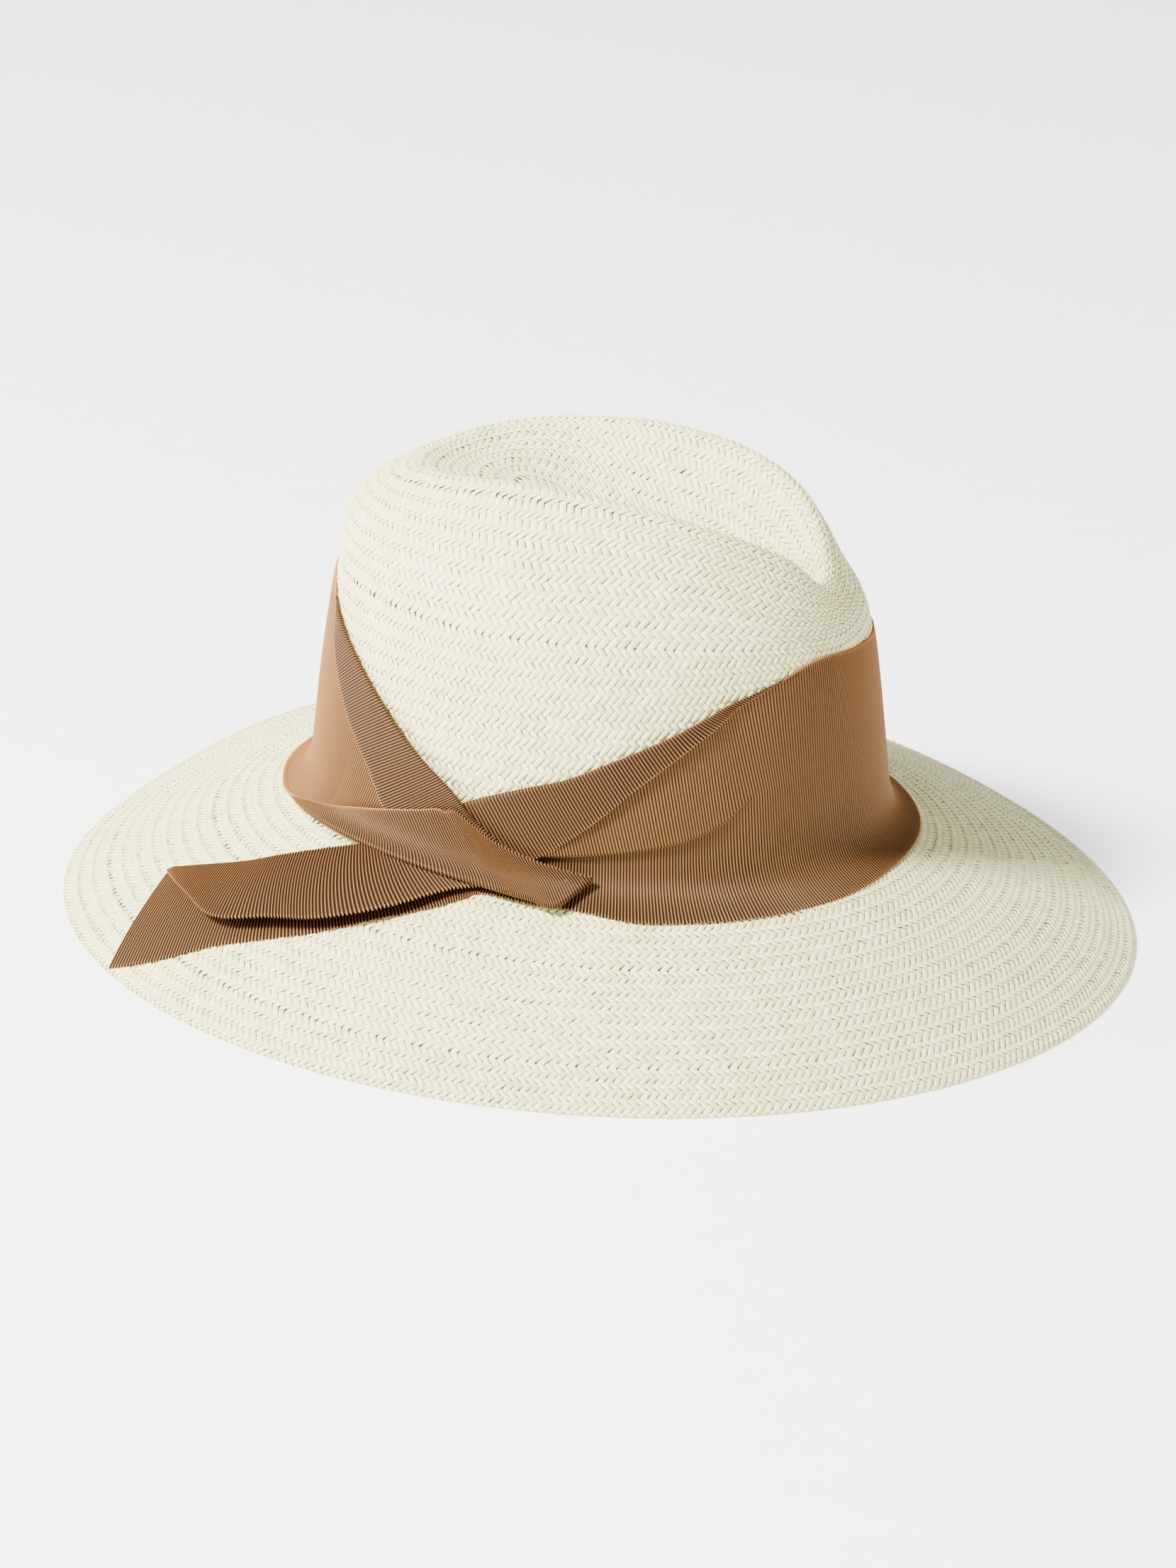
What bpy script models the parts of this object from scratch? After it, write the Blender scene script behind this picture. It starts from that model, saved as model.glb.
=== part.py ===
"""Panama hat with a wide brim and a knotted ribbon, as separate pieces.

Frame: +Z up, the front of the hat faces -Y, +X is the wearer's left.
The origin is below the middle of the brim, on the surface the brim rests on.
The design is written in millimetres and scaled to metres when meshes are made.
"""
import bmesh
import bpy
import math
import numpy as np
from mathutils import Vector

MM = 0.001

# ---- driving dimensions (mm) -------------------------------------------------
HEAD_X = 84.5               # outer half width of the crown where it meets the brim
HEAD_Y = 101.0              # outer half length there
BRIM_X = 170.7              # half width of the brim
BRIM_Y = 186.2              # half length of the brim
BREAK_Z = 42.0              # height of the line where crown and brim meet
WAIST_Z = 80.0              # height of the first control ring of the crown wall
STRAW = 1.2                 # thickness of the woven straw
FOOT_CUT = 0.7              # how far the lowest straw is pressed flat
GAP = 0.35                  # clearance between pieces that lie on each other
RIBBON = 0.9                # thickness of the ribbon band
HEM_PLACE = 0.925           # where the hem is stitched, from 0 at the crown to 1 at the edge
HEM_THREAD = 0.3            # radius of the hem's thread
TACK_THREAD = 0.25          # radius of the thread at the crossing
SEAM_THREAD = 0.25          # radius of the thread along the sweatband
TAPE = 0.6                  # thickness of the tape over the sweatband's joined ends
KNOT_TURN = 0.745           # where the ribbon crosses itself, on the wearer's right
KNOT_Z = 58.0
COLUMNS = 64                # facets round the hat

# How far the brim's edge is lifted every 30 degrees, from the wearer's left round by the back.
EDGE_HEIGHTS = [12.0, 14.0, 13.0, 1.5, 0.0, 0.0, 0.0, 0.0, 0.0, 0.0, 0.0, 3.5]

SIDE_ANGLES = np.radians(np.linspace(-90.0, 90.0, 9))     # front, left side, back
COS = np.cos(SIDE_ANGLES)
SIN = np.sin(SIDE_ANGLES)


# ---- the woven surface ---------------------------------------------------------
def ring(x, y, z):
    """Nine points from front to back on the left side, mirrored to sixteen."""
    half = np.stack([np.broadcast_to(np.asarray(v, float), 9) for v in (x, y, z)], axis=-1)
    mirrored = half[7:0:-1] * (-1.0, 1.0, 1.0)
    return np.concatenate([half, mirrored])


def crown_rings():
    """Control rings from the break line up the wall, over the rim, into the dent."""
    waist = np.array([1.0, 0.985, 0.965, 0.97, 1.0, 1.0, 1.0, 1.0, 1.0])
    pinch = np.array([1.0, 0.92, 0.82, 0.86, 0.97, 1.01, 1.03, 1.03, 1.0])
    fullness = np.array([0.99, 0.98, 0.97, 1.0, 1.0, 1.02, 1.04, 1.03, 1.02])
    front_lean = np.array([1.0, 0.9, 0.7, 0.4, 0.0, 0.0, 0.0, 0.0, 0.0])
    return np.array([
        ring(HEAD_X * COS, HEAD_Y * SIN, BREAK_Z),
        ring(81.5 * COS, 98.0 * SIN + 2.0 * front_lean, WAIST_Z),
        ring(77.5 * COS * waist, 93.5 * SIN + 2.5 * front_lean,
             [110, 112, 113, 113, 113, 113, 113, 113, 113]),
        ring(66.0 * COS * pinch, 87.0 * SIN * fullness, [123, 128, 136, 139, 139, 139, 139, 138, 137]),
        ring([0, 14, 30, 39, 42.5, 42.5, 39, 26, 0],
             [-81, -73, -54, -29, -2, 22, 46, 63, 71],
             [130, 142, 152.5, 158.5, 160, 158.5, 155.5, 152.5, 151]),
        ring([0, 6.5, 17, 25, 28, 28, 25, 14, 0],
             [-75, -66, -48, -27, -2, 19, 40, 54, 60],
             [128.5, 133, 140, 145, 147.5, 149, 149, 148.5, 148]),
        ring([0, 1.5, 5, 8, 10, 10.5, 9, 5, 0],
             [-67, -58, -42, -22, -2, 16, 32, 43, 47],
             [126, 125, 127, 130.5, 134, 138, 141.5, 144, 145]),
        ring(0, np.linspace(-27.0, 19.0, 9), [125, 126, 128, 130, 132.5, 135.5, 138.5, 141, 143]),
    ])


def blend_points(before, start, end, after, part):
    """Catmull-Rom step between two rows of points."""
    return 0.5 * (2 * start + (end - before) * part
                  + (2 * before - 5 * start + 4 * end - after) * part ** 2
                  + (3 * start - before - 3 * end + after) * part ** 3)


def round_ring(points, turn):
    """A value on a closed ring of control points, at turn 0 to 1 round it."""
    place = (turn % 1.0) * len(points)
    k = int(place)
    row = [points[(k + step) % len(points)] for step in (-1, 0, 1, 2)]
    return blend_points(*row, place - k)


RINGS = crown_rings()


def crown_point(turn, level):
    """Level 0 is the break line, 4 the rim of the dent and 7 its floor."""
    k = min(int(level), len(RINGS) - 2)
    rows = []
    for step in (k - 1, k, k + 1, k + 2):
        if step < 0:
            rows.append(2 * RINGS[0] - RINGS[1])
        elif step == len(RINGS):
            rows.append(RINGS[-2] * (-1.0, 1.0, 1.0))     # across the floor of the dent
        else:
            rows.append(RINGS[step])
    return round_ring(blend_points(*rows, level - k), turn)


def edge_height(angle):
    """Height of the brim's edge: flat on the table but for the raised left side."""
    wave = round_ring(EDGE_HEIGHTS, angle / (2 * math.pi))
    return max(wave, 0.0) + STRAW - FOOT_CUT


def brim_point(turn, out):
    """A point on top of the brim: out is 0 at the crown and 1 at the edge."""
    angle = 2 * math.pi * turn - math.pi / 2
    fall = 0.78 * out + 0.22 * out ** 2
    return np.array([(HEAD_X + (BRIM_X - HEAD_X) * out) * math.cos(angle),
                     (HEAD_Y + (BRIM_Y - HEAD_Y) * out) * math.sin(angle),
                     BREAK_Z + (edge_height(angle) - BREAK_Z) * fall])


def brim_height(x, y):
    """Height of the brim's top at a place in plan."""
    low = 0.0
    high = 1.0
    for _ in range(40):
        out = (low + high) / 2
        half_x = HEAD_X + (BRIM_X - HEAD_X) * out
        half_y = HEAD_Y + (BRIM_Y - HEAD_Y) * out
        if (x / half_x) ** 2 + (y / half_y) ** 2 > 1:
            low = out
        else:
            high = out
    turn = (math.atan2(y / half_y, x / half_x) + math.pi / 2) / (2 * math.pi)
    return brim_point(turn, out)[2]


# ---- Blender helpers -------------------------------------------------------------
def collection(name):
    made = bpy.data.collections.new(name)
    bpy.context.scene.collection.children.link(made)
    return made


def material(name, colour, roughness, metallic=0.0):
    made = bpy.data.materials.new(name)
    made.use_nodes = True
    shader = made.node_tree.nodes["Principled BSDF"]
    shader.inputs["Base Color"].default_value = (*colour, 1.0)
    shader.inputs["Roughness"].default_value = roughness
    shader.inputs["Metallic"].default_value = metallic
    return made


def put(name, mesh, group, finish, origin=(0.0, 0.0, 0.0)):
    """A named object whose origin stands at origin, in millimetres."""
    shift = Vector(origin) * MM
    for vertex in mesh.vertices:
        vertex.co -= shift
    made = bpy.data.objects.new(name, mesh)
    made.location = shift
    made.data.materials.append(finish)
    group.objects.link(made)
    mesh.shade_smooth()
    mesh.set_sharp_from_angle(angle=math.radians(40))
    return made


def sheet_mesh(name, rows, closed):
    """An open sheet through rows of points, its rows running round the hat if closed."""
    grid = bmesh.new()
    made = [[grid.verts.new([c * MM for c in point]) for point in row] for row in rows]
    columns = len(made[0])
    last = columns if closed else columns - 1
    for lower, upper in zip(made, made[1:]):
        for k in range(last):
            n = (k + 1) % columns
            grid.faces.new((lower[k], lower[n], upper[n], upper[k]))
    bmesh.ops.remove_doubles(grid, verts=grid.verts, dist=0.02 * MM)
    mesh = bpy.data.meshes.new(name)
    grid.to_mesh(mesh)
    grid.free()
    return mesh


def thicken(piece, thickness, side):
    """Solidify: side 1 grows along the face normals, -1 against them."""
    shell = piece.modifiers.new("thickness", "SOLIDIFY")
    shell.thickness = thickness * MM
    shell.offset = side
    shell.use_even_offset = True
    return shell


def thread(name, points, radius, group, finish):
    """A closed loop of thread."""
    curve = bpy.data.curves.new(name, "CURVE")
    curve.dimensions = "3D"
    curve.bevel_depth = radius * MM
    curve.bevel_resolution = 1
    line = curve.splines.new("POLY")
    line.points.add(len(points) - 1)
    for point, place in zip(line.points, points):
        point.co = (*[c * MM for c in place], 1.0)
    line.use_cyclic_u = True
    curve.materials.append(finish)
    made = bpy.data.objects.new(name, curve)
    group.objects.link(made)
    return made


def turns():
    return [k / COLUMNS for k in range(COLUMNS)]


# ---- the pieces --------------------------------------------------------------------
def make_straw(group, cutters, finish):
    """Crown and brim, woven as one sheet, with the lowest straw pressed flat."""
    out_steps = (1.0, 0.97, 0.8, 0.6, 0.4, 0.2, 0.08)
    level_steps = (0.12, 0.5, 1.0, 1.5, 2.0, 2.4, 2.8, 3.2, 3.6, 3.85, 4.1, 4.4, 4.8, 5.3, 5.8, 6.4, 7.0)
    rows = [[brim_point(turn, out) for turn in turns()] for out in out_steps]
    rows += [[crown_point(turn, level) for turn in turns()] for level in level_steps]
    straw = put("straw_body", sheet_mesh("straw_body", rows, True), group, finish)
    thicken(straw, STRAW, -1)
    bpy.ops.mesh.primitive_cube_add(size=1.0)
    cutter = bpy.context.object
    cutter.name = "floor_cutter"
    cutter.scale = (2.5 * BRIM_X * MM, 2.5 * BRIM_Y * MM, 20 * MM)
    cutter.location = (0.0, 0.0, -10 * MM)
    cutter.hide_render = True
    cutter.display_type = "WIRE"
    for owner in list(cutter.users_collection):
        owner.objects.unlink(cutter)
    cutters.objects.link(cutter)
    press = straw.modifiers.new("pressed_flat", "BOOLEAN")
    press.operation = "DIFFERENCE"
    press.solver = "EXACT"
    press.object = cutter
    return straw


def make_hem_thread(group, finish):
    """The line of stitching under the brim that holds its turned-under edge."""
    drop = STRAW * 1.15 + GAP + HEM_THREAD
    points = [brim_point(turn, HEM_PLACE) - (0, 0, drop) for turn in turns()]
    return thread("brim_hem_thread", points, HEM_THREAD, group, finish)


def inside_wall(turn, height, inset):
    """A point inside the crown wall, moved towards the middle by inset."""
    point = crown_point(turn, (height - BREAK_Z) / (WAIST_Z - BREAK_Z))
    outward = np.array([point[0] / HEAD_X ** 2, point[1] / HEAD_Y ** 2, 0.0])
    return point - outward / np.linalg.norm(outward) * inset


SWEATBAND_LOW = 44.5
SWEATBAND_HIGH = 73.0
SWEATBAND = 0.8
SWEATBAND_INSET = STRAW + GAP


def make_sweatband(group, finish):
    heights = np.linspace(SWEATBAND_LOW, SWEATBAND_HIGH, 4)
    rows = [[inside_wall(turn, height, SWEATBAND_INSET) for turn in turns()] for height in heights]
    band = put("sweatband", sheet_mesh("sweatband", rows, True), group, finish)
    thicken(band, SWEATBAND, -1)
    return band


def make_sweatband_thread(group, finish):
    inset = SWEATBAND_INSET + SWEATBAND + GAP + SEAM_THREAD
    points = [inside_wall(turn, SWEATBAND_LOW + 3.0, inset) for turn in turns()]
    return thread("sweatband_seam_thread", points, SEAM_THREAD, group, finish)


def make_join_tape(group, finish):
    """The short upright tape over the sweatband's joined ends, at the back."""
    inset = SWEATBAND_INSET + SWEATBAND + GAP
    across = np.linspace(0.5 - 0.009, 0.5 + 0.009, 3)
    heights = np.linspace(SWEATBAND_LOW + 5.0, SWEATBAND_HIGH - 1.0, 3)
    rows = [[inside_wall(turn, height, inset) for turn in across] for height in heights]
    tape = put("sweatband_join_tape", sheet_mesh("sweatband_join_tape", rows, False), group, finish)
    thicken(tape, TAPE, -1)
    return tape


def make_knot_tack(group, finish):
    """The loop of thread that tacks the crossing of the ribbon to the band below it."""
    middle = outside_wall(KNOT_TURN, KNOT_Z, GAP + 0.1 + RIBBON + GAP + TACK_THREAD)
    along = outside_wall(KNOT_TURN + 0.01, KNOT_Z, 0.0) - outside_wall(KNOT_TURN, KNOT_Z, 0.0)
    along = along / np.linalg.norm(along)
    points = []
    for k in range(12):
        angle = 2 * math.pi * k / 12
        points.append(middle + 2.0 * math.cos(angle) * along + (0, 0, 1.2 * math.sin(angle)))
    return thread("knot_tack_thread", points, TACK_THREAD, group, finish)


def smooth_step(value, low, high):
    part = min(max((value - low) / (high - low), 0.0), 1.0)
    return part * part * (3 - 2 * part)


def knot_closeness(turn):
    """1 where the ribbon's tail runs out below the band, 0 away from it."""
    degrees = 360 * turn - 90
    return smooth_step(degrees, 110, 135) * (1 - smooth_step(degrees, 178, 196))


def band_top(turn):
    """Height of the band's upper edge: high round the far side, low at the knot."""
    degrees = 360 * turn - 90
    falling = smooth_step(degrees, 105, 178)
    rising = smooth_step(degrees, 178, 262)
    return 112.0 - 45.0 * falling + 42.0 * rising


def band_row(turn):
    """Points across the band at one turn, from its lower edge to its upper edge."""
    close = knot_closeness(turn)
    flare = 10.5 * (1 - close)
    points = []
    for share in (1.0, 0.5):
        place = brim_point(turn, share * flare / 85.7)
        points.append(place + (0, 0, GAP + 0.2 + 7.0 * close * (1.6 - share) + 2.5 * (1 - share)))
    low = 53.0
    for height in np.linspace(low, band_top(turn), 5):
        points.append(outside_wall(turn, height, GAP + 0.1))
    return points


def outside_wall(turn, height, offset):
    """A point on the crown wall at a height, moved outwards by offset."""
    low = 0.0
    high = 3.0
    for _ in range(30):
        level = (low + high) / 2
        if crown_point(turn, level)[2] < height:
            low = level
        else:
            high = level
    point = crown_point(turn, level)
    outward = np.array([point[0] / HEAD_X ** 2, point[1] / HEAD_Y ** 2, 0.0])
    return point + outward / np.linalg.norm(outward) * offset


def make_band(group, finish):
    columns = [band_row(turn) for turn in turns()]
    rows = [list(row) for row in zip(*columns)]
    band = put("ribbon_band", sheet_mesh("ribbon_band", rows, True), group, finish)
    thicken(band, RIBBON, 1)
    return band


def ruled_rows(first, second, along, across):
    """Rows of points between two edges, each edge a list of points."""
    rows = []
    for share in np.linspace(0.0, 1.0, across):
        row = []
        for place in np.linspace(0.0, len(first) - 1, along):
            k = min(int(place), len(first) - 2)
            part = place - k
            edge_a = np.array(first[k]) * (1 - part) + np.array(first[k + 1]) * part
            edge_b = np.array(second[k]) * (1 - part) + np.array(second[k + 1]) * part
            row.append(edge_a * (1 - share) + edge_b * share)
        rows.append(row)
    return rows


TAIL_FOLD = [(-93, 14), (-91, 39), (-96.5, 62), (-100.5, 84), (-101, 108)]
TAIL_EDGE = [(-103, 9), (-121, 33), (-128.5, 58), (-134, 82), (-138.5, 106)]
TAIL_THICK = 3.0


def on_brim(place, lift):
    return (place[0], place[1], brim_height(place[0], place[1]) + lift)


def make_tail(group, finish):
    """The long end of the ribbon, folded lengthwise, lying on the brim."""
    lift = GAP + 0.25
    rows = ruled_rows(TAIL_FOLD, TAIL_EDGE, 13, 4)
    rows = [[on_brim(point, lift) for point in row] for row in rows]
    root = on_brim(TAIL_FOLD[0], lift + TAIL_THICK)
    tail = put("ribbon_tail", sheet_mesh("ribbon_tail", rows, False), group, finish, root)
    thicken(tail, TAIL_THICK, 1)
    return tail


FLAP_TOP = [(-87.5, -1, 65), (-80.5, -43, 51)]
FLAP_LOW = [(-93.5, 9, 48.5), (-91.5, -31.5, 47)]
FLAP_THICK = 3.0


def make_short_end(group, finish):
    """The short end of the ribbon, folded in layers, crossing over the band."""
    rows = ruled_rows(FLAP_TOP, FLAP_LOW, 7, 3)
    flap = put("ribbon_short_end", sheet_mesh("ribbon_short_end", rows, False), group, finish, FLAP_TOP[0])
    thicken(flap, FLAP_THICK, -1)
    return flap


def main():
    for old in list(bpy.data.objects):
        bpy.data.objects.remove(old, do_unlink=True)
    hat = collection("panama_hat")
    cutters = collection("cutters")
    straw = material("toquilla_straw", (0.83, 0.80, 0.70), 0.5)
    ribbon = material("brown_grosgrain", (0.40, 0.20, 0.10), 0.6)
    lining = material("ivory_grosgrain", (0.78, 0.73, 0.62), 0.7)
    cotton = material("ivory_thread", (0.80, 0.77, 0.68), 0.7)
    make_straw(hat, cutters, straw)
    make_hem_thread(hat, cotton)
    make_sweatband(hat, lining)
    make_sweatband_thread(hat, cotton)
    make_join_tape(hat, lining)
    make_band(hat, ribbon)
    make_tail(hat, ribbon)
    make_short_end(hat, ribbon)
    make_knot_tack(hat, cotton)


main()
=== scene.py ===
"""The looks of the panama hat: woven straw, folded grosgrain ribbon and an ivory sweatband.

Everything is designed in millimetres in the frame's own axes: +Z up, the front of
the hat at -Y, the wearer's right, where the ribbon crosses itself, at -X.
"""
import bpy
import math
import numpy as np
from mathutils import Matrix, Vector


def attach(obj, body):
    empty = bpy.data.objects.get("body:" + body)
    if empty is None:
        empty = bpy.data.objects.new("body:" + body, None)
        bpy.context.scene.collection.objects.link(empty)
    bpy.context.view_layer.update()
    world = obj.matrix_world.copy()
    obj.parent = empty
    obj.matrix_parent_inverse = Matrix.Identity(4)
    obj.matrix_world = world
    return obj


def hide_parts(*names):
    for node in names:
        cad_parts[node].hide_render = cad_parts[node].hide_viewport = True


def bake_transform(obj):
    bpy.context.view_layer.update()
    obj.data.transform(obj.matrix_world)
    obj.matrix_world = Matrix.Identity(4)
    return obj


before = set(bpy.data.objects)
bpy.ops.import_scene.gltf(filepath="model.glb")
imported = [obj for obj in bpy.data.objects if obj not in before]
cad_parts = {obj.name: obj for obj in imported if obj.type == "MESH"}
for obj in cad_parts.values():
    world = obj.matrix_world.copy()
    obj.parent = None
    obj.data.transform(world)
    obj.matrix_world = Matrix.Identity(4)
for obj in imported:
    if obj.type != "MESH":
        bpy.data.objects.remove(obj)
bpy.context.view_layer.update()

MM = 0.001

# ---- the hat's driving dimensions (mm), as the CAD has them --------------------
HEAD_X = 84.5
HEAD_Y = 101.0
BRIM_X = 170.7
BRIM_Y = 186.2
BREAK_Z = 42.0
WAIST_Z = 80.0
EDGE_HEIGHTS = [12.0, 14.0, 13.0, 1.5, 0.0, 0.0, 0.0, 0.0, 0.0, 0.0, 0.0, 3.5]
EDGE_LIFT = 0.9             # the top of the straw at the brim's edge, over what it rests on

# ---- the weave --------------------------------------------------------------------
STRAND = 2.0                # width of a straw strand
STEP = STRAND / math.sqrt(2)    # half the spacing of the floats round the hat
GROWTH = 1.25               # how the number of floats grows from one growth ring to the next
WALL_FLOATS = 205           # floats round the crown's wall

SIDE_ANGLES = np.radians(np.linspace(-90.0, 90.0, 9))
COS = np.cos(SIDE_ANGLES)
SIN = np.sin(SIDE_ANGLES)


# ---- the woven surface ---------------------------------------------------------------
def ring(x, y, z):
    """Nine points from front to back on the left side, mirrored to sixteen."""
    half = np.stack([np.broadcast_to(np.asarray(v, float), 9) for v in (x, y, z)], axis=-1)
    mirrored = half[7:0:-1] * (-1.0, 1.0, 1.0)
    return np.concatenate([half, mirrored])


def crown_rings():
    """Control rings from the break line up the wall, over the rim, into the dent."""
    waist = np.array([1.0, 0.985, 0.965, 0.97, 1.0, 1.0, 1.0, 1.0, 1.0])
    pinch = np.array([1.0, 0.92, 0.82, 0.86, 0.97, 1.01, 1.03, 1.03, 1.0])
    fullness = np.array([0.99, 0.98, 0.97, 1.0, 1.0, 1.02, 1.04, 1.03, 1.02])
    front_lean = np.array([1.0, 0.9, 0.7, 0.4, 0.0, 0.0, 0.0, 0.0, 0.0])
    return np.array([
        ring(HEAD_X * COS, HEAD_Y * SIN, BREAK_Z),
        ring(81.5 * COS, 98.0 * SIN + 2.0 * front_lean, WAIST_Z),
        ring(77.5 * COS * waist, 93.5 * SIN + 2.5 * front_lean,
             [110, 112, 113, 113, 113, 113, 113, 113, 113]),
        ring(66.0 * COS * pinch, 87.0 * SIN * fullness, [123, 128, 136, 139, 139, 139, 139, 138, 137]),
        ring([0, 14, 30, 39, 42.5, 42.5, 39, 26, 0],
             [-81, -73, -54, -29, -2, 22, 46, 63, 71],
             [130, 142, 152.5, 158.5, 160, 158.5, 155.5, 152.5, 151]),
        ring([0, 6.5, 17, 25, 28, 29, 27, 17, 0],
             [-75, -66, -48, -27, -2, 18, 38, 51, 56],
             [128.5, 133, 140, 145, 147.5, 150, 152.2, 151, 150.2]),
        ring([0, 1.5, 5, 8, 10, 11, 10.5, 7, 0],
             [-67, -58, -42, -22, -2, 12, 24, 32, 35],
             [126, 125, 127, 130.5, 134, 138.4, 143, 146, 146.8]),
        ring(0, np.linspace(-45.0, 5.0, 9), [125, 126, 127.2, 128.3, 129.4, 130.5, 131.8, 133.4, 135.6]),
    ])


def between(points, place, closed):
    """Catmull-Rom interpolation of rows of points at fractional places."""
    points = np.asarray(points, float)
    place = np.asarray(place, float)
    count = len(points)
    if closed:
        k = np.floor(place).astype(int)
        rows = [points[(k + step) % count] for step in (-1, 0, 1, 2)]
    else:
        k = np.clip(np.floor(place).astype(int), 0, count - 2)
        ends = np.concatenate([[2 * points[0] - points[1]], points, [2 * points[-1] - points[-2]]])
        rows = [ends[k + 1 + step] for step in (-1, 0, 1, 2)]
    before, start, end, after = rows
    part = (place - k).reshape(place.shape + (1,) * (points.ndim - 1))
    return 0.5 * (2 * start + (end - before) * part
                  + (2 * before - 5 * start + 4 * end - after) * part ** 2
                  + (3 * start - before - 3 * end + after) * part ** 3)


def edge_height(turn):
    wave = between(np.array(EDGE_HEIGHTS), turn * 12 - 3, True)
    return np.maximum(wave, 0.0) + EDGE_LIFT


def brim_points(turn, out):
    """Points on top of the brim: out is 0 at the crown and 1 at the edge."""
    angle = 2 * math.pi * turn - math.pi / 2
    fall = 0.78 * out + 0.22 * out ** 2
    return np.stack([(HEAD_X + (BRIM_X - HEAD_X) * out) * np.cos(angle),
                     (HEAD_Y + (BRIM_Y - HEAD_Y) * out) * np.sin(angle),
                     BREAK_Z + (edge_height(turn) - BREAK_Z) * fall], axis=-1)


def crown_points(turn, levels):
    """One row of points round the crown for each level, 0 at the break line and 7 in the dent."""
    controls = crown_rings()
    mirrored = controls[-2] * (-1.0, 1.0, 1.0)
    padded = np.concatenate([controls, mirrored[None]])
    rings = between(padded, levels, False)
    return np.stack([between(row, turn * 16, True) for row in rings])


COLUMNS = 720               # how finely the surface is measured round the hat
GRID = 0.4                  # and along it
EDGE_ROUND = 0.55           # radius of the brim's rounded edge
HEM_IN = 0.905              # how far out on the brim the turned-under hem begins
EASE_PASSES = 60            # how often the corner between brim and crown is averaged
EASE_ROWS = 12              # over this many rows on either side


def unit(vectors):
    return vectors / np.maximum(np.linalg.norm(vectors, axis=-1, keepdims=True), 1e-9)


def look_up(tables, row, column):
    """Values of each table at fractional rows and columns; the second holds unit normals."""
    i = row.astype(int)
    j = column.astype(int)
    a = (row - i)[..., None]
    b = (column - j)[..., None]
    found = []
    for table in tables:
        low = table[i, j] * (1 - b) + table[i, j + 1] * b
        high = table[i + 1, j] * (1 - b) + table[i + 1, j + 1] * b
        found.append(low * (1 - a) + high * a)
    return found[0], unit(found[1])


class Skin:
    """The straw's outer surface, from the hem under the brim over the edge to the dent.

    A place on it is given by turn, the share of the way round from the front by the
    wearer's left, and along, the distance in mm inwards from the brim's edge.
    """

    def __init__(self, rows, edge_row):
        rows = np.concatenate([rows, rows[:, :1]], axis=1)
        steps = np.linalg.norm(np.diff(rows, axis=1), axis=2)
        run = np.concatenate([np.zeros((len(rows), 1)), np.cumsum(steps, axis=1)], axis=1)
        share = np.linspace(0.0, 1.0, COLUMNS + 1)
        even = np.stack([
            np.stack([np.interp(share, way / way[-1], row[:, axis]) for axis in range(3)], axis=-1)
            for way, row in zip(run, rows)])
        gaps = np.linalg.norm(np.diff(even, axis=0), axis=2).mean(axis=1)
        along = np.concatenate([[0.0], np.cumsum(gaps)])
        along -= along[edge_row]
        count = int((along[-1] - along[0]) / GRID) + 1
        self.along = np.linspace(along[0], along[-1], count)
        place = np.interp(self.along, along, np.arange(len(rows)))
        low = np.minimum(place.astype(int), len(rows) - 2)
        part = (place - low)[:, None, None]
        self.points = even[low] * (1 - part) + even[low + 1] * part
        self.rounds = np.interp(place, np.arange(len(rows)), run[:, -1])
        cyclic = np.concatenate([self.points[:, -2:-1], self.points, self.points[:, 1:2]], axis=1)
        across = cyclic[:, 2:] - cyclic[:, :-2]
        inwards = np.gradient(self.points, axis=0)
        self.normals = unit(np.cross(across, inwards))
        self.normals[-1] = self.normals[-2]

    def at(self, turn, along):
        """Points and outward normals at places on the skin."""
        step = self.along[1] - self.along[0]
        row = np.clip((along - self.along[0]) / step, 0, len(self.along) - 1.001)
        return look_up((self.points, self.normals), row, (turn % 1.0) * COLUMNS)

    def round_at(self, along):
        return float(np.interp(along, self.along, self.rounds))


def straw_skin():
    turn = np.arange(COLUMNS) / COLUMNS
    edge = brim_points(turn, 1.0)
    inner = brim_points(turn, 0.98)
    outwards = unit(edge - inner)
    round_way = np.roll(edge, -1, axis=0) - np.roll(edge, 1, axis=0)
    upwards = unit(np.cross(round_way, -outwards))
    rows = []
    for out in np.linspace(HEM_IN, 0.99, 18):
        rows.append(brim_points(turn, out) - 2 * EDGE_ROUND * upwards)
    centre = edge - EDGE_ROUND * upwards
    for angle in np.linspace(math.pi, 0.0, 9):
        rows.append(centre + EDGE_ROUND * (math.cos(angle) * upwards + math.sin(angle) * outwards))
    edge_row = len(rows) - 1
    rows += [brim_points(turn, out) for out in np.linspace(0.995, 0.0, 220)]
    corner = len(rows)
    rows += list(crown_points(turn, np.linspace(0.02, 7.0, 420)))
    rows = np.array(rows)
    low, high = corner - EASE_ROWS, corner + EASE_ROWS
    for _ in range(EASE_PASSES):
        rows[low:high] = (rows[low - 1:high - 1] + rows[low:high] + rows[low + 1:high + 1]) / 3
    return Skin(rows, edge_row)


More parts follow.
